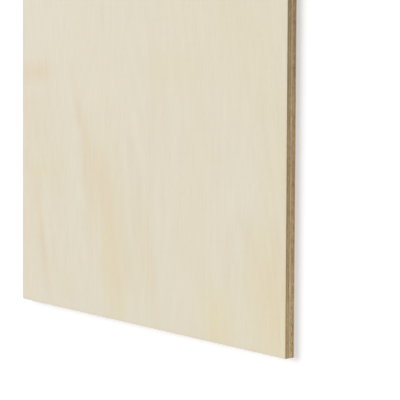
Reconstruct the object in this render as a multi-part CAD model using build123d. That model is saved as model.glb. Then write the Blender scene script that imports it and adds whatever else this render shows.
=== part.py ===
"""A plywood sheet lying flat, built as plywood is made: rotary-cut veneers glued face to face with their grain crossed.

Units are millimetres. X runs across the sheet, Y runs along the grain of its faces, and +Z is up.
The origin is the middle of the back, which rests on the floor.
"""

import os

from build123d import *

# Driving dimensions
SHEET_WIDTH = 610.0  # across the grain of the faces
SHEET_LENGTH = 1220.0  # along the grain of the faces
FACE_THICKNESS = 1.7  # each outer veneer, after sanding
CROSSBAND_THICKNESS = 2.8  # each inner veneer whose grain lies across the sheet
CORE_THICKNESS = 3.0  # the middle veneer
ARRIS_RADIUS = 0.4  # the sanded rim of each outer veneer

OUTPUT_FOLDER = "parts"

# The lay-up from the back to the face. The grain turns a quarter from each ply to the next,
# and the plies above the core mirror those below it, which keeps the sheet flat.
LAY_UP = [
    ("back_veneer", FACE_THICKNESS),
    ("back_crossband", CROSSBAND_THICKNESS),
    ("core_veneer", CORE_THICKNESS),
    ("face_crossband", CROSSBAND_THICKNESS),
    ("face_veneer", FACE_THICKNESS),
]


def veneer(thickness, bottom):
    """One ply, trimmed to the sheet's full width and length, with its underside at the height given."""
    outline = Pos(0, 0, bottom) * Rectangle(SHEET_WIDTH, SHEET_LENGTH)
    return extrude(outline, amount=thickness, dir=(0, 0, 1))


def glued_stack():
    """Every ply of the lay-up by name, each lying on the one before it."""
    plies = {}
    bottom = 0.0
    for name, thickness in LAY_UP:
        plies[name] = veneer(thickness, bottom)
        bottom += thickness
    return plies


def sanded(outer_face):
    """An outer veneer with the arris all round the face that shows rounded over."""
    return fillet(outer_face.edges(), ARRIS_RADIUS)


def plywood_sheet():
    """The pressed and trimmed stack, with both of its outer veneers sanded."""
    plies = glued_stack()
    plies["back_veneer"] = sanded(plies["back_veneer"].faces().sort_by(Axis.Z)[0])
    plies["face_veneer"] = sanded(plies["face_veneer"].faces().sort_by(Axis.Z)[-1])
    return plies


os.makedirs(OUTPUT_FOLDER, exist_ok=True)
for name, ply in plywood_sheet().items():
    export_step(ply, os.path.join(OUTPUT_FOLDER, f"{name}.step"))
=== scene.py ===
"""A plywood sheet lying flat: five rotary-cut veneers, sanded on the two faces and sawn on the four edges.

Metres throughout. The frame gives each ply its place and size. X runs across the sheet, Y along it and Z up.
"""

import math
from collections import namedtuple

import bpy
import numpy as np
from mathutils import Matrix, Vector


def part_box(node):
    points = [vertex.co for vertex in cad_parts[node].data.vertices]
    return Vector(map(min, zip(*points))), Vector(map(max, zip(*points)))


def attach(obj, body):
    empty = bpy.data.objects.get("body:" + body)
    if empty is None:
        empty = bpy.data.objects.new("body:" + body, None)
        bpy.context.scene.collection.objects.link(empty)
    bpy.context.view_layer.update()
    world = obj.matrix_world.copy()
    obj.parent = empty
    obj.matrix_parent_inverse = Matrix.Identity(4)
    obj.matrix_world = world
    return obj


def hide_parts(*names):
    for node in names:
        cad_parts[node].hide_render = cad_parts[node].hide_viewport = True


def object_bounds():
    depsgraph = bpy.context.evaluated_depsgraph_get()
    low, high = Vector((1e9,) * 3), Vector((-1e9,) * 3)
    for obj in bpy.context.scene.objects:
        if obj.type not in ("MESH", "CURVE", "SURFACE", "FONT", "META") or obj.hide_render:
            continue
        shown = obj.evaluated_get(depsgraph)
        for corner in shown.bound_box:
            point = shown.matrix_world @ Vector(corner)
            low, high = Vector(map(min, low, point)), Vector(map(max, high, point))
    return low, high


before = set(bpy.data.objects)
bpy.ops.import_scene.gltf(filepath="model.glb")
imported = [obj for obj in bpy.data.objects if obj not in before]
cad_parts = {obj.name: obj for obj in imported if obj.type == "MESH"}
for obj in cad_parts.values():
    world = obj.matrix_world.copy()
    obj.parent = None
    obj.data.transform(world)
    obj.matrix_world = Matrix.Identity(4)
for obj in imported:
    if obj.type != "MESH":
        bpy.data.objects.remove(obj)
cad_low, cad_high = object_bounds()

MM = 0.001


def mm(*sizes):
    """Sizes given in millimetres, as metres."""
    return tuple(size * MM for size in sizes)


# The sheet
SHEET_WIDTH = cad_high.x - cad_low.x
SHEET_LENGTH = cad_high.y - cad_low.y

# The lay-up, from the back to the face. The grain lies along the axis named. The tone is the sawn edge's,
# matched to how bright each band of the edge looks, so it holds painted light as well as the wood's colour.
# The saw tears the end grain where a noise is above the last value: the lower it is, the more a ply tears.
Ply = namedtuple("Ply", "node slot grain tone torn_from")
LAY_UP = [
    # The back veneer's tone is painted lighter, to make up for the shade near the floor at the foot of the
    # edge
    Ply("back_veneer", "face_veneer", "Y", "#DFBC8F", 0.62),
    Ply("back_crossband", "crossband", "X", "#D4B588", 0.54),
    Ply("core_veneer", "core_veneer", "Y", "#D0B88F", 0.60),
    Ply("face_crossband", "crossband", "X", "#BFA67D", 0.60),
    Ply("face_veneer", "face_veneer", "Y", "#AB9470", 0.62),
]

# The sawn rim of a ply
COLUMN_SPACING = 1.0 * MM  # between the rim's columns of faces
EDGE_ROWS = 5  # rows of faces between a ply's two borders
ARRIS_RADIUS = 0.4 * MM
ARRIS_ROWS = 4
GLUE_LINE = 0.12 * MM  # each ply's share of the glue line next to it
GLUE_WANDER = 0.14 * MM  # how far the press moves a glue line up or down
GLUE_WANDER_LENGTH = 60 * MM
SAW_PITCH = 5.0 * MM  # the feed for one turn of the blade
SAW_DEPTH = 0.05 * MM
SAW_LEAN = 0.25  # how far a saw mark leans along the edge for each unit of height
SAW_CHANGE = 40 * MM  # the length over which the marks grow deeper or fade
TORN_LENGTH = 4.0 * MM  # a patch of torn end grain, along the edge
TORN_HEIGHT = 2.0 * MM
TORN_DEPTH = 0.4 * MM
TORN_RISE = 0.12  # from the noise value where fibres start to tear to the one where they are torn out
END_GRAIN_DEPTH = 0.06 * MM  # end grain is cut this much lower than long grain
CORNER_WEAR = 0.25 * MM
FLATTEST_RIM = 0.98  # the rise of a normal above which a face is a broad one

# The broad faces, whose mesh is made of rings, each twice as coarse as the one outside it
RINGS = 6
FIRST_RING = 1.6 * MM
RING_WELD = 1.2 * COLUMN_SPACING  # points nearer than this are welded in the first ring inwards
WELD = 0.01 * MM

# Each ply's flat layout for baking, in a unit square. A field has a low and a high corner.
GLUED_FIELD = ((0.0, 0.0), (0.49, 0.016))
BORDER_FIELD = ((0.51, 0.0), (1.0, 0.016))
FACE_FIELD = ((0.0, 0.125), (1.0, 1.0))
RIM_LOW = 0.018
OUTER_RIM_HIGH = 0.12
INNER_RIM_HIGH = 1.0
OUTER_STRIPS = 4  # strips that each long edge is cut into, where a broad face takes most of the square
INNER_STRIPS = 10  # and where the rim has the square to itself
STRIP_END = 0.002  # bare at both ends of a strip
STRIP_MARGIN = 0.1  # of a strip's height, bare at its top and bottom

# Colours of the wood
CREAM = "#E6DEC9"
STRAW = "#E6DBBA"
HEART_BROWN = "#E4D5B9"
ARRIS_TAN = "#CBB186"
CHECK_BROWN = "#6B4E30"
GLUE_BROWN = "#80623F"

# Marks of the wood are streaks of noise: width across the grain, length along it and depth through the ply,
# and the two values that the noise runs between. Most are shades that multiply a colour.
Mark = namedtuple("Mark", "size weakest strongest")
THROUGH = 1000  # deeper than any ply, for a mark that is the same all the way through
NOISE_LOW, NOISE_HIGH = 0.3, 0.7  # nearly all of a noise's values lie between these
NOISE_DETAIL = 2.0

# Marks of the sanded faces. Real fibres and vessels are several times finer, and are drawn coarser to show.
WANDER = Mark(mm(90, 220, THROUGH), -22 * MM, 22 * MM)
CLOUD = Mark(mm(120, 260, THROUGH), -0.15, 0.3)
DRIFT = Mark(mm(50, 280, THROUGH), -0.5, 0.4)
FINGER = Mark(mm(14, 150, THROUGH), 0.55, 1.25)
SWELL = Mark(mm(170, 1100, THROUGH), 0.0, 11.0)  # counted in growth rings
FIBRE = Mark(mm(1.4, 45, THROUGH), 0.98, 1.02)
FIBRE_ROUGHNESS = Mark(FIBRE.size, 0.66, 0.54)
VESSEL = Mark(mm(0.45, 9, THROUGH), 1.10, 0.94)
DRIFT_TURN = math.radians(9)
RING_SHADES = (0.992, 1.006)  # late and early wood
HANDLED_RIM = 5 * MM  # the strip along the arris that hands and sanding have warmed
RIM_WARMTH = 0.5

# Marks of the sawn edges. Pores and checks are drawn two or three times their real width to show.
LONG_FIBRE = Mark(mm(0.7, 30, 0.4), 0.86, 1.12)
SAW_PATCH = Mark(mm(6, 7, 3), 0.86, 1.14)  # where the teeth left the wood rougher or smoother
LONG_PATCH = Mark(mm(25, 60, 20), 0.9, 1.08)
PORE = Mark(mm(0.5, 20, 0.4), 0.84, 1.12)
RING_BAND = Mark(mm(14, 40, 0.6), 0.9, 1.08)
END_PATCH = Mark(mm(25, 60, 20), 0.88, 1.08)
GLUE_BLOTCH = Mark(mm(25, 60, 20), 0.96, 1.04)
CHECK_OPEN = Mark(mm(9, 40, 2.2), -0.6, 1.0)  # how far a check is open, with none below 0
CHECK_SPACING = 4.5 * MM
CHECK_WIDTH = 0.3 * MM
CHECK_LEAN = 0.9  # how far a check leans along the edge for each unit of height
CHECK_SHADE = 0.75  # how dark checks and torn fibres are

# How matt each finish is and how strongly it reflects. The fibres set how matt a sanded face is.
SANDED = {"Specular IOR Level": 0.3}
SAWN_ALONG = {"Roughness": 0.72, "Specular IOR Level": 0.3}
SAWN_ACROSS = {"Roughness": 0.85, "Specular IOR Level": 0.2}
GLUE_FILM = {"Roughness": 0.6, "Specular IOR Level": 0.5}

# How strongly each finish is bumped
BUMP_DEPTH = 0.3 * MM
FACE_BUMP = 0.2
LONG_GRAIN_BUMP = 0.4
END_GRAIN_BUMP = 0.5

# Soft patches of the face with a cast of their own: each one's middle, its width and length, its turn from
# the sheet's length in degrees, and its strength
Patch = namedtuple("Patch", "middle size turn strength")
STRAW_CLOUDS = [
    Patch(mm(200, -270), mm(420, 300), 0, 0.25),
    Patch(mm(85, -300), mm(160, 90), 0, 0.5),
    Patch(mm(300, -420), mm(120, 260), 0, 0.35),
    Patch(mm(-55, -510), mm(110, 280), 16, 0.9),
    Patch(mm(-240, -420), mm(180, 70), 0, 0.6),
    Patch(mm(-190, -570), mm(90, 90), 0, 0.5),
    Patch(mm(180, -595), mm(90, 140), 0, 1.0),
    Patch(mm(275, -560), mm(130, 210), 0, 1.0),
]
HEARTWOOD = [
    Patch(mm(-128, -350), mm(40, 190), 20, 0.9),
    Patch(mm(-85, -430), mm(80, 240), 24, 0.65),
    Patch(mm(-40, -530), mm(90, 200), 12, 0.45),
    Patch(mm(-260, -275), mm(160, 45), 0, 1.0),
    Patch(mm(-250, -350), mm(180, 240), 0, 0.5),
    Patch(mm(-243, -500), mm(34, 230), 6, 0.8),
    Patch(mm(240, -485), mm(40, 70), 0, 0.6),
    Patch(mm(268, -550), mm(120, 190), 0, 0.5),
]

# Seeds of the two faces
FACE_SEED = 3.0
BACK_SEED = 7.0

# The camera, which looks down on the sheet with the far end of it at the top of the picture
CAMERA_PLACE = Vector((1.1534, -0.4125, 0.7212))
CAMERA_AIM = Vector((0.1518, -0.4501, 0.012))
CAMERA_UP = Vector((-0.0278, 0.9995, -0.0137))
CAMERA_LENS = 96.7  # in millimetres, for a sensor 36 mm wide

# Floor and light
FLOOR_SIZE = 40.0
FLOOR_DROP = 0.05 * MM
FLOOR_WHITE = "#E6E6E6"
FLOOR_LIFT = 0.34  # what the camera sees added to the floor, which makes the open floor white
KEY_FROM = Vector((-1.0, 0.25, 1.1))
KEY_STRENGTH = 2.0
KEY_ANGLE = math.radians(45)
AMBIENT = 0.41
FILL_PLACE = Vector((0.80, -1.0, 0.09))
FILL_AIM = Vector((0.305, -0.55, 0.006))
FILL_POWER = 1.4
FILL_SIZE = 0.15

# Kinds of node that are used often, and the sockets of a Mix node
MATH = "ShaderNodeMath"
VECTOR_MATH = "ShaderNodeVectorMath"
MAP_RANGE = "ShaderNodeMapRange"
NOISE = "ShaderNodeTexNoise"
COMBINE = "ShaderNodeCombineXYZ"
SEPARATE = "ShaderNodeSeparateXYZ"
MIX = "ShaderNodeMix"
FACTOR, NUMBER_A, NUMBER_B, COLOUR_A, COLOUR_B, COLOUR_OUT = 0, 2, 3, 6, 7, 2
POSITION = "GeometryNodeInputPosition"
SET_POSITION = "GeometryNodeSetPosition"
SET_MATERIAL = "GeometryNodeSetMaterial"
MERGE = "GeometryNodeMergeByDistance"
STORE = "GeometryNodeStoreNamedAttribute"


def linear(hex_colour):
    """An sRGB hex colour as linear red, green, blue and alpha."""
    shares = [int(hex_colour[i:i + 2], 16) / 255 for i in (1, 3, 5)]
    return (*(s / 12.92 if s <= 0.04045 else ((s + 0.055) / 1.055) ** 2.4 for s in shares), 1.0)


def add_node(tree, kind, inputs=None, out=0, **settings):
    """Adds a node with its settings, feeds its inputs from values or other nodes, and gives one output.

    A list feeds several sources to one input. A node with no outputs is given itself.
    """
    made = tree.nodes.new(kind)
    for name, value in settings.items():
        setattr(made, name, value)
    for key, value in (inputs or {}).items():
        for source in value if isinstance(value, list) else [value]:
            if isinstance(source, bpy.types.NodeSocket):
                tree.links.new(source, made.inputs[key])
            else:
                made.inputs[key].default_value = source
    return made.outputs[out] if made.outputs else made


# The rule that makes a ply

VENEER_INPUTS = {
    "Width": "NodeSocketFloat",
    "Length": "NodeSocketFloat",
    "Bottom": "NodeSocketFloat",
    "Thickness": "NodeSocketFloat",
    "Edge Rows": "NodeSocketInt",
    "Border Rows": "NodeSocketInt",
    "Border Height": "NodeSocketFloat",
    "Rounding": "NodeSocketFloat",
    "Turned Over": "NodeSocketFloat",
    "Grain Across": "NodeSocketFloat",
    "Lower Wander": "NodeSocketFloat",
    "Upper Wander": "NodeSocketFloat",
    "Torn From": "NodeSocketFloat",
    "Seed": "NodeSocketInt",
    "Long Grain": "NodeSocketMaterial",
    "End Grain": "NodeSocketMaterial",
    "Glue": "NodeSocketMaterial",
    "Border": "NodeSocketMaterial",
}


def veneer_outline(tree, given):
    """The trimmed outline of the sheet, with a point for each column of the rim and one at each corner."""
    sides = {"Width": given["Width"], "Height": given["Length"]}
    rectangle = add_node(tree, "GeometryNodeCurvePrimitiveQuadrilateral", sides)
    corner = add_node(tree, "GeometryNodeInputIndex")
    # The side that starts at an odd corner runs along the sheet's length
    odd = add_node(tree, MATH, {0: corner, 1: 2.0}, operation="MODULO")
    side = add_node(tree, MIX, {FACTOR: odd, NUMBER_A: given["Width"], NUMBER_B: given["Length"]})
    columns = add_node(tree, MATH, {0: side, 1: COLUMN_SPACING}, operation="DIVIDE")
    columns = add_node(tree, MATH, {0: columns}, operation="ROUND")
    cuts = add_node(tree, MATH, {0: columns, 1: 1.0}, operation="SUBTRACT")
    return add_node(tree, "GeometryNodeSubdivideCurve", {"Curve": rectangle, "Cuts": cuts})


def ring_shrink(tree, given, coarser):
    """The scale from the outside of a ring to its inside, if it is so many times coarser than the first."""
    # Each ring is twice as wide as the one before it, so the rings outside one that is n times coarser are
    # n - 1 first rings wide together, and 2n - 1 with that ring itself
    before = add_node(tree, MATH, {0: coarser, 1: 1.0}, operation="SUBTRACT")
    after = add_node(tree, MATH, {0: coarser, 1: 2.0, 2: -1.0}, operation="MULTIPLY_ADD")
    shrink = {}
    for axis, size in (("X", "Width"), ("Y", "Length")):
        half = add_node(tree, MATH, {0: given[size], 1: 0.5}, operation="MULTIPLY")
        was = add_node(tree, MATH, {0: before, 1: -FIRST_RING, 2: half}, operation="MULTIPLY_ADD")
        now = add_node(tree, MATH, {0: after, 1: -FIRST_RING, 2: half}, operation="MULTIPLY_ADD")
        shrink[axis] = add_node(tree, MATH, {0: now, 1: was}, operation="DIVIDE")
    return add_node(tree, COMBINE, {**shrink, "Z": 1.0})


def broad_face(tree, given, outline):
    """The outline filled by rings of faces, each twice as coarse as the one outside it."""
    filled = add_node(tree, "GeometryNodeFillCurve", {"Curve": outline}, mode="NGONS")
    start = tree.nodes.new("GeometryNodeRepeatInput")
    end = tree.nodes.new("GeometryNodeRepeatOutput")
    start.pair_with_output(end)
    end.repeat_items.new("BOOLEAN", "Inside")
    start.inputs["Iterations"].default_value = RINGS
    start.inputs["Inside"].default_value = True
    tree.links.new(filled, start.inputs["Geometry"])
    coarser = add_node(tree, MATH, {0: 2.0, 1: start.outputs["Iteration"]}, operation="POWER")
    core = {"Mesh": start.outputs["Geometry"], "Selection": start.outputs["Inside"]}
    ring = add_node(tree, "GeometryNodeExtrudeMesh", {**core, "Offset Scale": 0.0, "Individual": False})
    inside = ring.node.outputs["Top"]
    shrink = ring_shrink(tree, given, coarser)
    moved = add_node(tree, VECTOR_MATH, {0: add_node(tree, POSITION), 1: shrink}, operation="MULTIPLY")
    ring = add_node(tree, SET_POSITION, {"Geometry": ring, "Selection": inside, "Position": moved})
    reach = add_node(tree, MATH, {0: coarser, 1: RING_WELD}, operation="MULTIPLY")
    ring = add_node(tree, MERGE, {"Geometry": ring, "Selection": inside, "Distance": reach})
    tree.links.new(ring, end.inputs["Geometry"])
    tree.links.new(inside, end.inputs["Inside"])
    return end.outputs["Geometry"]


def closed_blank(tree, given, rows):
    """The ply as a closed blank of unit height: its rim and two broad faces, welded together."""
    outline = veneer_outline(tree, given)
    upright = add_node(tree, "GeometryNodeCurvePrimitiveLine", {"Start": (0, 0, 0), "End": (0, -1, 0)})
    points = add_node(tree, MATH, {0: rows, 1: 1.0}, operation="ADD")
    upright = add_node(tree, "GeometryNodeResampleCurve", {"Curve": upright, "Count": points})
    rim = add_node(tree, "GeometryNodeCurveToMesh", {"Curve": outline, "Profile Curve": upright})
    rim = add_node(tree, "GeometryNodeFlipFaces", {"Mesh": rim})
    cap = broad_face(tree, given, outline)
    raised = add_node(tree, "GeometryNodeTransform", {"Geometry": cap, "Translation": (0, 0, 1)})
    under = add_node(tree, "GeometryNodeFlipFaces", {"Mesh": cap})
    blank = add_node(tree, "GeometryNodeJoinGeometry", {"Geometry": [rim, raised, under]})
    return add_node(tree, MERGE, {"Geometry": blank, "Distance": WELD})


def counted_rows(tree, given, blank, rows):
    """The blank with its rows numbered from the glued face, the upper one in a ply that is turned over."""
    level = add_node(tree, SEPARATE, {"Vector": add_node(tree, POSITION)}, out="Z")
    upside_down = add_node(tree, MATH, {0: 1.0, 1: level}, operation="SUBTRACT")
    level = add_node(tree, MIX, {FACTOR: given["Turned Over"], NUMBER_A: level, NUMBER_B: upside_down})
    row = add_node(tree, MATH, {0: level, 1: rows}, operation="MULTIPLY")
    return add_node(tree, STORE, {"Geometry": blank, "Name": "row", "Value": row})


def ply_profile(tree, given, row, rows):
    """How high above the ply's underside a row of the rim lies, and how far it is rounded in."""
    last_edge_row = add_node(tree, MATH, {0: given["Edge Rows"], 1: 1.0}, operation="ADD")
    plain = add_node(tree, MATH, {0: given["Thickness"], 1: given["Border Height"]}, operation="SUBTRACT")
    plain = add_node(tree, MATH, {0: plain, 1: GLUE_LINE}, operation="SUBTRACT")
    glue = add_node(tree, MAP_RANGE, {"Value": row, "To Max": GLUE_LINE})
    edge = {"Value": row, "From Min": 1.0, "From Max": last_edge_row, "To Max": plain}
    edge = add_node(tree, MAP_RANGE, edge)
    border = {"Value": row, "From Min": last_edge_row, "From Max": rows, "To Max": math.pi / 2}
    turn = add_node(tree, MAP_RANGE, border)
    sine = add_node(tree, MATH, {0: turn}, operation="SINE")
    cosine = add_node(tree, MATH, {0: turn}, operation="COSINE")
    height = add_node(tree, MATH, {0: glue, 1: edge}, operation="ADD")
    height = add_node(tree, MATH, {0: sine, 1: given["Border Height"], 2: height}, operation="MULTIPLY_ADD")
    inset = add_node(tree, MATH, {0: 1.0, 1: cosine}, operation="SUBTRACT")
    inset = add_node(tree, MATH, {0: inset, 1: given["Rounding"]}, operation="MULTIPLY")
    over = add_node(tree, MATH, {0: given["Thickness"], 1: height}, operation="SUBTRACT")
    height = add_node(tree, MIX, {FACTOR: given["Turned Over"], NUMBER_A: height, NUMBER_B: over})
    return height, inset


def glue_wander(tree, given, flat, height):
    """How far a point moves up or down with the glue lines under and over it, which wander a little.

    Two plies that meet draw the line between them from the same seed, so they meet all over.
    """
    moves = []
    for name, line in (("Lower Wander", 0.0), ("Upper Wander", 1.0)):
        seed = add_node(tree, MATH, {0: given["Seed"], 1: line}, operation="ADD")
        noise = {"Vector": flat, "W": seed, "Scale": 1 / GLUE_WANDER_LENGTH, "Detail": NOISE_DETAIL}
        noise = add_node(tree, NOISE, noise, noise_dimensions="4D")
        low = add_node(tree, MATH, {0: given[name], 1: -1.0}, operation="MULTIPLY")
        reach = {"From Min": NOISE_LOW, "From Max": NOISE_HIGH, "To Min": low, "To Max": given[name]}
        moves.append(add_node(tree, MAP_RANGE, {"Value": noise, **reach}))
    share = add_node(tree, MATH, {0: height, 1: given["Thickness"]}, operation="DIVIDE")
    return add_node(tree, MIX, {FACTOR: share, NUMBER_A: moves[0], NUMBER_B: moves[1]})


def saw_marks(tree, place, flat, on_side, height):
    """How deep the blade has marked the edge: a shallow leaning wave that fades and deepens along it."""
    along = add_node(tree, MIX, {FACTOR: on_side, NUMBER_A: place["X"], NUMBER_B: place["Y"]})
    leaning = add_node(tree, MATH, {0: height, 1: SAW_LEAN, 2: along}, operation="MULTIPLY_ADD")
    turns = add_node(tree, MATH, {0: leaning, 1: 2 * math.pi / SAW_PITCH}, operation="MULTIPLY")
    wave = add_node(tree, MATH, {0: turns}, operation="SINE")
    mark = add_node(tree, MAP_RANGE, {"Value": wave, "From Min": -1.0, "To Max": SAW_DEPTH})
    bite = add_node(tree, NOISE, {"Vector": flat, "Scale": 1 / SAW_CHANGE, "Detail": NOISE_DETAIL})
    return add_node(tree, MATH, {0: mark, 1: bite}, operation="MULTIPLY")


def torn_fibres(tree, given, flat, height):
    """From 0 to 1, how far the saw has torn out the end grain at a point."""
    layer = add_node(tree, MATH, {0: height, 1: 1 / TORN_HEIGHT}, operation="MULTIPLY")
    layer = add_node(tree, MATH, {0: given["Seed"], 1: layer}, operation="ADD")
    spot = {"Vector": flat, "W": layer, "Scale": 1 / TORN_LENGTH, "Detail": NOISE_DETAIL}
    spot = add_node(tree, NOISE, spot, noise_dimensions="4D")
    full = add_node(tree, MATH, {0: given["Torn From"], 1: TORN_RISE}, operation="ADD")
    return add_node(tree, MAP_RANGE, {"Value": spot, "From Min": given["Torn From"], "From Max": full})


def edge_relief(tree, given, place, flat, rim, height):
    """How deep the edge is cut at a point of the rim, and how far its fibres are torn."""
    end_grain = {FACTOR: given["Grain Across"], NUMBER_A: rim["Y"], NUMBER_B: rim["X"]}
    end_grain = add_node(tree, MIX, end_grain)
    torn = torn_fibres(tree, given, flat, height)
    torn = add_node(tree, MATH, {0: torn, 1: end_grain}, operation="MULTIPLY")
    relief = saw_marks(tree, place, flat, rim["X"], height)
    relief = add_node(tree, MATH, {0: end_grain, 1: END_GRAIN_DEPTH, 2: relief}, operation="MULTIPLY_ADD")
    relief = add_node(tree, MATH, {0: torn, 1: TORN_DEPTH, 2: relief}, operation="MULTIPLY_ADD")
    corner = add_node(tree, MATH, {0: rim["X"], 1: rim["Y"]}, operation="MULTIPLY")
    relief = add_node(tree, MATH, {0: corner, 1: CORNER_WEAR, 2: relief}, operation="MULTIPLY_ADD")
    return relief, torn


def finished_rim(tree, given, blank, rows):
    """The blank brought to the ply's own height, with its arris, its glue lines and the marks of the saw."""
    row = add_node(tree, "GeometryNodeInputNamedAttribute", {"Name": "row"})
    place = add_node(tree, SEPARATE, {"Vector": add_node(tree, POSITION)}).node.outputs
    flat = add_node(tree, COMBINE, {"X": place["X"], "Y": place["Y"]})
    rim, outward, moved = {}, {}, {}
    for axis, size in (("X", "Width"), ("Y", "Length")):
        half = add_node(tree, MATH, {0: given[size], 1: 0.5, 2: -WELD}, operation="MULTIPLY_ADD")
        reach = add_node(tree, MATH, {0: place[axis]}, operation="ABSOLUTE")
        rim[axis] = add_node(tree, MATH, {0: reach, 1: half}, operation="GREATER_THAN")
        side = add_node(tree, MATH, {0: place[axis]}, operation="SIGN")
        outward[axis] = add_node(tree, MATH, {0: side, 1: rim[axis]}, operation="MULTIPLY")
    height, inset = ply_profile(tree, given, row, rows)
    relief, torn = edge_relief(tree, given, place, flat, rim, height)
    depth = add_node(tree, MATH, {0: inset, 1: relief}, operation="ADD")
    for axis in "XY":
        inward = add_node(tree, MATH, {0: outward[axis], 1: depth}, operation="MULTIPLY")
        moved[axis] = add_node(tree, MATH, {0: place[axis], 1: inward}, operation="SUBTRACT")
    level = add_node(tree, MATH, {0: height, 1: glue_wander(tree, given, flat, height)}, operation="ADD")
    level = add_node(tree, MATH, {0: level, 1: given["Bottom"]}, operation="ADD")
    target = add_node(tree, COMBINE, {**moved, "Z": level})
    blank = add_node(tree, STORE, {"Geometry": blank, "Name": "torn", "Value": torn})
    return add_node(tree, SET_POSITION, {"Geometry": blank, "Position": target})


def surfaced(tree, given, ply):
    """The ply with its materials: long or end grain on the rim, and those of its glued side and border."""
    row = add_node(tree, "GeometryNodeInputNamedAttribute", {"Name": "row"})
    normal = add_node(tree, "GeometryNodeInputNormal")
    way = add_node(tree, SEPARATE, {"Vector": normal}).node.outputs
    across = add_node(tree, MATH, {0: way["X"]}, operation="ABSOLUTE")
    along = add_node(tree, MATH, {0: way["Y"]}, operation="ABSOLUTE")
    on_side = add_node(tree, MATH, {0: across, 1: along}, operation="GREATER_THAN")
    on_end = add_node(tree, MATH, {0: along, 1: across}, operation="GREATER_THAN")
    end_grain = add_node(tree, MIX, {FACTOR: given["Grain Across"], NUMBER_A: on_end, NUMBER_B: on_side})
    glued = add_node(tree, MATH, {0: row, 1: 1.0}, operation="LESS_THAN")
    last_edge_row = add_node(tree, MATH, {0: given["Edge Rows"], 1: 1.0}, operation="ADD")
    border = add_node(tree, MATH, {0: row, 1: last_edge_row}, operation="GREATER_THAN")
    level = add_node(tree, MATH, {0: way["Z"]}, operation="ABSOLUTE")
    sawn = add_node(tree, MATH, {0: level, 1: FLATTEST_RIM}, operation="LESS_THAN")
    ply = add_node(tree, "GeometryNodeSetShadeSmooth", {"Geometry": ply, "Shade Smooth": sawn})
    ply = add_node(tree, SET_MATERIAL, {"Geometry": ply, "Material": given["Long Grain"]})
    for name, place in (("End Grain", end_grain), ("Glue", glued), ("Border", border)):
        ply = add_node(tree, SET_MATERIAL, {"Geometry": ply, "Selection": place, "Material": given[name]})
    return ply


def veneer_tree():
    """The rule that every ply follows: a sawn rim, two broad faces, and a material for each surface."""
    tree = bpy.data.node_groups.new("sawn_veneer", "GeometryNodeTree")
    for name, kind in VENEER_INPUTS.items():
        tree.interface.new_socket(name, in_out="INPUT", socket_type=kind)
    tree.interface.new_socket("Geometry", in_out="OUTPUT", socket_type="NodeSocketGeometry")
    given = tree.nodes.new("NodeGroupInput").outputs
    rows = add_node(tree, MATH, {0: given["Edge Rows"], 1: given["Border Rows"]}, operation="ADD")
    rows = add_node(tree, MATH, {0: rows, 1: 1.0}, operation="ADD")
    ply = closed_blank(tree, given, rows)
    ply = counted_rows(tree, given, ply, rows)
    ply = finished_rim(tree, given, ply, rows)
    ply = add_node(tree, "GeometryNodeRealizeInstances", {"Geometry": ply})
    add_node(tree, "NodeGroupOutput", {0: surfaced(tree, given, ply)})
    return tree


# Materials

def new_surface(name, finish):
    """A new material with the finish given: the material, its node tree and its shader's inputs."""
    material = bpy.data.materials.new(name)
    material.use_nodes = True
    tree = material.node_tree
    tree.nodes.clear()
    shader = add_node(tree, "ShaderNodeBsdfPrincipled", finish)
    add_node(tree, "ShaderNodeOutputMaterial", {"Surface": shader})
    return material, tree, shader.node.inputs


def dress(tree, shader, colour, relief, strength):
    """Gives a shader its colour, and a bump from the relief."""
    tree.links.new(colour, shader["Base Color"])
    bump = {"Height": relief, "Strength": strength, "Distance": BUMP_DEPTH}
    tree.links.new(add_node(tree, "ShaderNodeBump", bump), shader["Normal"])


def laid_out(tree, place, size, middle, turn):
    """Places on the sheet as a pattern of the width, length and depth given sees them from its middle."""
    pattern = {"Vector": place, "Location": middle, "Rotation": (0.0, 0.0, turn), "Scale": size}
    return add_node(tree, "ShaderNodeMapping", pattern, vector_type="TEXTURE")


def streaks(tree, mark, seed, turn=0.0):
    """A noise of streaks like the mark given, turned from the sheet's length."""
    place = add_node(tree, "ShaderNodeTexCoord", out="Object")
    place = laid_out(tree, place, mark.size, (seed, seed, seed), turn)
    noise = add_node(tree, NOISE, {"Vector": place, "Scale": 1.0, "Detail": NOISE_DETAIL})
    noise = {"Value": noise, "From Min": NOISE_LOW, "From Max": NOISE_HIGH}
    return add_node(tree, MAP_RANGE, {**noise, "To Min": mark.weakest, "To Max": mark.strongest})


def product(tree, factors):
    """Several factors multiplied together."""
    result = factors[0]
    for factor in factors[1:]:
        result = add_node(tree, MATH, {0: result, 1: factor}, operation="MULTIPLY")
    return result


def soft_patches(tree, place, patches, cast):
    """A cast with soft patches added to it, each strongest in its middle."""
    for patch in patches:
        half = (patch.size[0] / 2, patch.size[1] / 2, 1.0)
        seen = laid_out(tree, place, half, (*patch.middle, 0.0), math.radians(patch.turn))
        spot = add_node(tree, "ShaderNodeTexGradient", {"Vector": seen}, out=1, gradient_type="SPHERICAL")
        cast = add_node(tree, MATH, {0: spot, 1: patch.strength, 2: cast}, operation="MULTIPLY_ADD")
    return cast


def wandering_place(tree, seed):
    """Places on the sheet, moved across it so that a straight streak wanders as the grain does."""
    place = add_node(tree, "ShaderNodeTexCoord", out="Object")
    wander = add_node(tree, COMBINE, {"X": streaks(tree, WANDER, seed)})
    return add_node(tree, VECTOR_MATH, {0: place, 1: wander}, operation="ADD")


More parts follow.
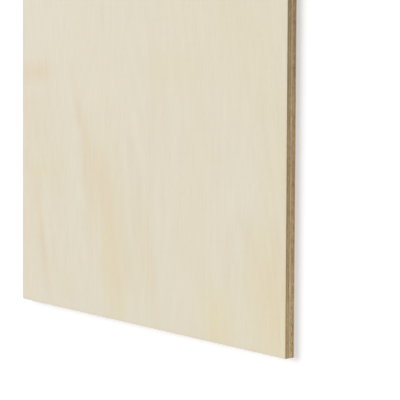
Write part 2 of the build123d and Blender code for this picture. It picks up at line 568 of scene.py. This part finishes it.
def handled_rim(tree):
    """From 0 to 1, how near the arris a point of a sanded face is."""
    place = add_node(tree, "ShaderNodeTexCoord", out="Object")
    place = add_node(tree, VECTOR_MATH, {0: place}, operation="ABSOLUTE")
    place = add_node(tree, SEPARATE, {"Vector": place}).node.outputs
    near = []
    for axis, size in (("X", SHEET_WIDTH), ("Y", SHEET_LENGTH)):
        strip = {"Value": place[axis], "From Min": size / 2 - HANDLED_RIM, "From Max": size / 2}
        near.append(add_node(tree, MAP_RANGE, strip))
    return add_node(tree, MATH, {0: near[0], 1: near[1]}, operation="MAXIMUM")


def figured_wood(tree, seed, straw_clouds, heartwood):
    """The colour of a sanded face: cream, with broad straw clouds and streaks of browner heartwood."""
    place = wandering_place(tree, seed)
    straw = soft_patches(tree, place, straw_clouds, streaks(tree, CLOUD, seed))
    heart = streaks(tree, DRIFT, seed, DRIFT_TURN)
    heart = add_node(tree, MATH, {0: heart, 1: 0.0}, operation="MAXIMUM")
    heart = soft_patches(tree, place, heartwood, heart)
    heart = product(tree, [heart, streaks(tree, FINGER, seed)])
    heart = add_node(tree, MATH, {0: handled_rim(tree), 1: RIM_WARMTH, 2: heart}, operation="MULTIPLY_ADD")
    wood = {FACTOR: straw, COLOUR_A: linear(CREAM), COLOUR_B: linear(STRAW)}
    wood = add_node(tree, MIX, wood, out=COLOUR_OUT, data_type="RGBA")
    wood = {FACTOR: heart, COLOUR_A: wood, COLOUR_B: linear(HEART_BROWN)}
    return add_node(tree, MIX, wood, out=COLOUR_OUT, data_type="RGBA")


def arris_slope(tree):
    """From 0 on the flat of a sanded face to 1 where its arris has turned down to the sawn edge."""
    normal = add_node(tree, "ShaderNodeNewGeometry", out="True Normal")
    rise = add_node(tree, SEPARATE, {"Vector": normal}, out="Z")
    rise = add_node(tree, MATH, {0: rise}, operation="ABSOLUTE")
    return add_node(tree, MATH, {0: 1.0, 1: rise}, operation="SUBTRACT")


def soft_rings(tree, seed):
    """Growth rings as the lathe's knife crosses them: broad contour lines, light in the early wood."""
    turns = add_node(tree, MATH, {0: streaks(tree, SWELL, seed), 1: 2 * math.pi}, operation="MULTIPLY")
    wave = add_node(tree, MATH, {0: turns}, operation="SINE")
    late, early = RING_SHADES
    return add_node(tree, MAP_RANGE, {"Value": wave, "From Min": -1.0, "To Min": late, "To Max": early})


def sanded_poplar(name, seed, straw_clouds=(), heartwood=()):
    """Rotary-cut poplar, sanded and left bare: pale, matt and silky, with warm drifts and soft rings."""
    material, tree, shader = new_surface(name, SANDED)
    vessel = add_node(tree, MATH, {0: streaks(tree, VESSEL, seed), 1: 1.0}, operation="MINIMUM")
    shade = product(tree, [soft_rings(tree, seed), streaks(tree, FIBRE, seed), vessel])
    wood = figured_wood(tree, seed, straw_clouds, heartwood)
    wood = add_node(tree, VECTOR_MATH, {0: wood, "Scale": shade}, operation="SCALE")
    wood = {FACTOR: arris_slope(tree), COLOUR_A: wood, COLOUR_B: linear(ARRIS_TAN)}
    wood = add_node(tree, MIX, wood, out=COLOUR_OUT, data_type="RGBA")
    tree.links.new(streaks(tree, FIBRE_ROUGHNESS, seed), shader["Roughness"])
    dress(tree, shader, wood, shade, FACE_BUMP)
    return material


def grain_turn(grain):
    """The turn of a ply's grain from the sheet's length, for the axis that it lies along."""
    return math.pi / 2 if grain == "X" else 0.0


def sawn_long_grain(name, grain, tone, seed):
    """Poplar sawn along the grain at a ply's edge: fairly smooth, with fine streaks along the fibres."""
    material, tree, shader = new_surface(name, SAWN_ALONG)
    turn = grain_turn(grain)
    fibre = streaks(tree, LONG_FIBRE, seed, turn)
    patches = [streaks(tree, mark, seed, turn) for mark in (SAW_PATCH, LONG_PATCH)]
    shade = product(tree, [fibre, *patches])
    colour = add_node(tree, VECTOR_MATH, {0: linear(tone)[:3], "Scale": shade}, operation="SCALE")
    dress(tree, shader, colour, fibre, LONG_GRAIN_BUMP)
    return material


def lathe_checks(tree, grain, seed):
    """From 0 to 1, the leaning cracks that the lathe's knife opened as it bent the veneer off the log."""
    place = add_node(tree, "ShaderNodeTexCoord", out="Object")
    place = add_node(tree, SEPARATE, {"Vector": place}).node.outputs
    across = place["Y"] if grain == "X" else place["X"]
    leaning = add_node(tree, MATH, {0: place["Z"], 1: CHECK_LEAN, 2: across}, operation="MULTIPLY_ADD")
    cell = add_node(tree, MATH, {0: leaning, 1: 1 / CHECK_SPACING, 2: seed}, operation="MULTIPLY_ADD")
    row = {"voronoi_dimensions": "1D", "feature": "DISTANCE_TO_EDGE"}
    gap = add_node(tree, "ShaderNodeTexVoronoi", {"W": cell, "Scale": 1.0}, **row)
    half_width = CHECK_WIDTH / CHECK_SPACING / 2
    crack = add_node(tree, MAP_RANGE, {"Value": gap, "From Max": half_width, "To Min": 1.0, "To Max": 0.0})
    open_here = streaks(tree, CHECK_OPEN, seed, grain_turn(grain))
    return add_node(tree, MATH, {0: crack, 1: open_here}, operation="MULTIPLY", use_clamp=True)


def sawn_end_grain(name, grain, tone, seed):
    """Poplar sawn across the grain at a ply's edge: porous and dull, with lathe checks and torn patches."""
    material, tree, shader = new_surface(name, SAWN_ACROSS)
    turn = grain_turn(grain)
    marks = (PORE, RING_BAND, SAW_PATCH, END_PATCH)
    shade = product(tree, [streaks(tree, mark, seed, turn) for mark in marks])
    colour = add_node(tree, VECTOR_MATH, {0: linear(tone)[:3], "Scale": shade}, operation="SCALE")
    torn = add_node(tree, "ShaderNodeAttribute", out="Fac", attribute_name="torn")
    dark = add_node(tree, MATH, {0: lathe_checks(tree, grain, seed), 1: torn}, operation="MAXIMUM")
    dark = add_node(tree, MATH, {0: dark, 1: CHECK_SHADE}, operation="MULTIPLY")
    colour = {FACTOR: dark, COLOUR_A: colour, COLOUR_B: linear(CHECK_BROWN)}
    colour = add_node(tree, MIX, colour, out=COLOUR_OUT, data_type="RGBA")
    relief = add_node(tree, MATH, {0: shade, 1: dark}, operation="SUBTRACT")
    dress(tree, shader, colour, relief, END_GRAIN_BUMP)
    return material


def cured_glue():
    """The resin that the press squeezed thin between two plies: a dull brown film."""
    material, tree, shader = new_surface("cured_resin_glue", GLUE_FILM)
    film = {0: linear(GLUE_BROWN)[:3], "Scale": streaks(tree, GLUE_BLOTCH, 0.0)}
    film = add_node(tree, VECTOR_MATH, film, operation="SCALE")
    tree.links.new(film, shader["Base Color"])
    return material


# The flat layout of a ply

def values_of(items, name, width, kind):
    """One property of every item of a mesh, as an array."""
    values = np.zeros(len(items) * width, kind)
    items.foreach_get(name, values)
    return values.reshape(-1, width) if width > 1 else values


def in_field(share, field):
    """Shares of the sheet's width and length, laid into a field of the square."""
    low, high = np.array(field)
    return low + share * (high - low)


def rim_strips(share, row_share, on_side, positive, middle, strips, high):
    """The rim cut into strips of about equal length, laid one above the other. Long edges come first."""
    count = np.where(on_side, strips, strips // 2)
    run = np.where(on_side, share[:, 1], share[:, 0])
    strip = np.minimum(np.floor(np.where(on_side, middle[:, 1], middle[:, 0]) * count), count - 1)
    first = np.where(on_side, 0, 2 * strips) + np.where(positive, count, 0)
    along = STRIP_END + (1 - 2 * STRIP_END) * (run * count - strip)
    up = first + strip + STRIP_MARGIN + (1 - 2 * STRIP_MARGIN) * row_share
    return np.stack([along, RIM_LOW + (high - RIM_LOW) * up / (3 * strips)], axis=1)


def bake_layout(mesh, outer):
    """Lays a ply out flat: strips for its rim, small fields for glued faces and a large one for a bare face.

    The rows that the rule counted tell the rim from the broad faces, and are then taken off the mesh.
    """
    rows = values_of(mesh.attributes["row"].data, "value", 1, np.float32)
    places = values_of(mesh.vertices, "co", 3, np.float32)
    corner = values_of(mesh.loops, "vertex_index", 1, np.int32)
    counts = values_of(mesh.polygons, "loop_total", 1, np.int32)
    face = np.repeat(np.arange(len(counts)), counts)
    starts = np.cumsum(counts) - counts
    size = np.array([SHEET_WIDTH, SHEET_LENGTH])
    share = places[corner, :2] / size + 0.5
    middle = np.add.reduceat(share, starts) / counts[:, None]
    level = np.add.reduceat(rows[corner], starts) / counts
    from_rim = (0.5 - np.abs(middle - 0.5)) * size
    on_side = from_rim[:, 0] < from_rim[:, 1]
    positive = np.where(on_side, middle[:, 0], middle[:, 1]) > 0.5
    strips, rim_high = (OUTER_STRIPS, OUTER_RIM_HIGH) if outer else (INNER_STRIPS, INNER_RIM_HIGH)
    row_share = rows[corner] / rows.max()
    layout = rim_strips(share, row_share, on_side[face], positive[face], middle[face], strips, rim_high)
    glued = (level == 0)[face]
    border = (level == rows.max())[face]
    layout[glued] = in_field(share[glued], GLUED_FIELD)
    layout[border] = in_field(share[border], FACE_FIELD if outer else BORDER_FIELD)
    layer = mesh.uv_layers.new(name="OFBake")
    layer.data.foreach_set("uv", layout.astype(np.float32).ravel())
    mesh.attributes.remove(mesh.attributes["row"])


# The plies

def ply_mesh(tree, sizes):
    """The plain mesh that the rule makes for one ply's sizes and materials."""
    blank = bpy.data.objects.new("blank", bpy.data.meshes.new("blank"))
    bpy.context.scene.collection.objects.link(blank)
    rule = blank.modifiers.new("sawn_veneer", "NODES")
    rule.node_group = tree
    for item in tree.interface.items_tree:
        if item.in_out == "INPUT":
            rule[item.identifier] = sizes[item.name]
    evaluated = blank.evaluated_get(bpy.context.evaluated_depsgraph_get())
    mesh = bpy.data.meshes.new_from_object(evaluated)
    bpy.data.objects.remove(blank)
    mesh.materials.pop(index=0)  # the empty slot that the blank came with
    return mesh


def lay_ply(number, tree, glue, sanded_faces):
    """One ply of the sheet, made by the rule and put in place of its plain solid."""
    ply = LAY_UP[number]
    low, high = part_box(ply.node)
    outer = ply.node in sanded_faces
    sizes = {
        "Width": SHEET_WIDTH,
        "Length": SHEET_LENGTH,
        "Bottom": low.z,
        "Thickness": high.z - low.z,
        "Edge Rows": EDGE_ROWS,
        "Border Rows": ARRIS_ROWS if outer else 1,
        "Border Height": ARRIS_RADIUS if outer else GLUE_LINE,
        "Rounding": ARRIS_RADIUS if outer else 0.0,
        "Turned Over": 1.0 if number == 0 else 0.0,
        "Grain Across": 1.0 if ply.grain == "X" else 0.0,
        "Lower Wander": 0.0 if number == 0 else GLUE_WANDER,
        "Upper Wander": 0.0 if number == len(LAY_UP) - 1 else GLUE_WANDER,
        "Torn From": ply.torn_from,
        "Seed": number,
        "Long Grain": sawn_long_grain(f"sawn_poplar_long_{ply.node}", ply.grain, ply.tone, number),
        "End Grain": sawn_end_grain(f"sawn_poplar_end_{ply.node}", ply.grain, ply.tone, number),
        "Glue": glue,
        "Border": sanded_faces.get(ply.node, glue),
    }
    mesh = ply_mesh(tree, sizes)
    bake_layout(mesh, outer)
    laid = bpy.data.objects.new(f"{ply.node}_ply", mesh)
    bpy.context.scene.collection.objects.link(laid)
    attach(laid, "root")
    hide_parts(ply.node)


def lay_up():
    """All five plies, pressed into a sheet."""
    tree = veneer_tree()
    glue = cured_glue()
    sanded_faces = {
        "back_veneer": sanded_poplar("sanded_poplar_back", BACK_SEED),
        "face_veneer": sanded_poplar("sanded_poplar_face", FACE_SEED, STRAW_CLOUDS, HEARTWOOD),
    }
    for number in range(len(LAY_UP)):
        lay_ply(number, tree, glue, sanded_faces)


# The studio

def seen_by_camera(tree):
    """1 for what the camera sees, straight, mirrored or through glass, and 0 for the light on things."""
    path = add_node(tree, "ShaderNodeLightPath").node.outputs
    seen = add_node(tree, MATH, {0: path["Is Camera Ray"], 1: path["Is Glossy Ray"]}, operation="MAXIMUM")
    return add_node(tree, MATH, {0: seen, 1: path["Is Transmission Ray"]}, operation="MAXIMUM")


def studio_floor():
    """A plain white floor that shows as white and keeps the sheet's shadow."""
    material = bpy.data.materials.new("white_matt_floor")
    material.use_nodes = True
    tree = material.node_tree
    tree.nodes.clear()
    paint = add_node(tree, "ShaderNodeBsdfDiffuse", {"Color": linear(FLOOR_WHITE)})
    lift = add_node(tree, MATH, {0: seen_by_camera(tree), 1: FLOOR_LIFT}, operation="MULTIPLY")
    glow = add_node(tree, "ShaderNodeEmission", {"Strength": lift})
    both = add_node(tree, "ShaderNodeAddShader", {0: paint, 1: glow})
    add_node(tree, "ShaderNodeOutputMaterial", {"Surface": both})
    half = FLOOR_SIZE / 2
    corners = [(x, y, -FLOOR_DROP) for x, y in ((-half, -half), (half, -half), (half, half), (-half, half))]
    mesh = bpy.data.meshes.new("floor")
    mesh.from_pydata(corners, [], [(0, 1, 2, 3)])
    mesh.materials.append(material)
    floor = bpy.data.objects.new("floor", mesh)
    bpy.context.scene.collection.objects.link(floor)


def hang_lamp(name, lamp, place, way_back):
    """Puts a lamp at its place, facing away from the direction given, and gives it."""
    held = bpy.data.objects.new(name, lamp)
    held.location = place
    held.rotation_mode = "QUATERNION"
    held.rotation_quaternion = way_back.to_track_quat("Z", "Y")
    held.visible_camera = False
    bpy.context.scene.collection.objects.link(held)
    return held


def studio_light():
    """A broad soft light from the left of the picture, a weak low one near its right, and a white room."""
    key = bpy.data.lights.new("key", "SUN")
    key.energy = KEY_STRENGTH
    key.angle = KEY_ANGLE
    hang_lamp("key", key, KEY_FROM, KEY_FROM)
    fill = bpy.data.lights.new("fill", "AREA")
    fill.shape = "DISK"
    fill.size = FILL_SIZE
    fill.energy = FILL_POWER
    held = hang_lamp("fill", fill, FILL_PLACE, FILL_PLACE - FILL_AIM)
    held.visible_glossy = False  # so near, it would leave a bright spot on the face
    world = bpy.data.worlds.new("studio")
    world.use_nodes = True
    tree = world.node_tree
    tree.nodes.clear()
    strength = add_node(tree, MIX, {FACTOR: seen_by_camera(tree), NUMBER_A: AMBIENT, NUMBER_B: 1.0})
    white = add_node(tree, "ShaderNodeBackground", {"Color": (1, 1, 1, 1), "Strength": strength})
    add_node(tree, "ShaderNodeOutputWorld", {"Surface": white})
    bpy.context.scene.world = world


def photo_camera():
    """The camera, turned so that the sheet's length runs up the picture."""
    lens = bpy.data.cameras.new("camera")
    lens.lens = CAMERA_LENS
    camera = bpy.data.objects.new("camera", lens)
    back = (CAMERA_PLACE - CAMERA_AIM).normalized()
    right = CAMERA_UP.cross(back).normalized()
    turn = Matrix((right, back.cross(right), back)).transposed().to_4x4()
    camera.matrix_world = Matrix.Translation(CAMERA_PLACE) @ turn
    bpy.context.scene.collection.objects.link(camera)
    bpy.context.scene.camera = camera


lay_up()
studio_floor()
studio_light()
photo_camera()
bpy.context.scene.view_settings.view_transform = "Standard"
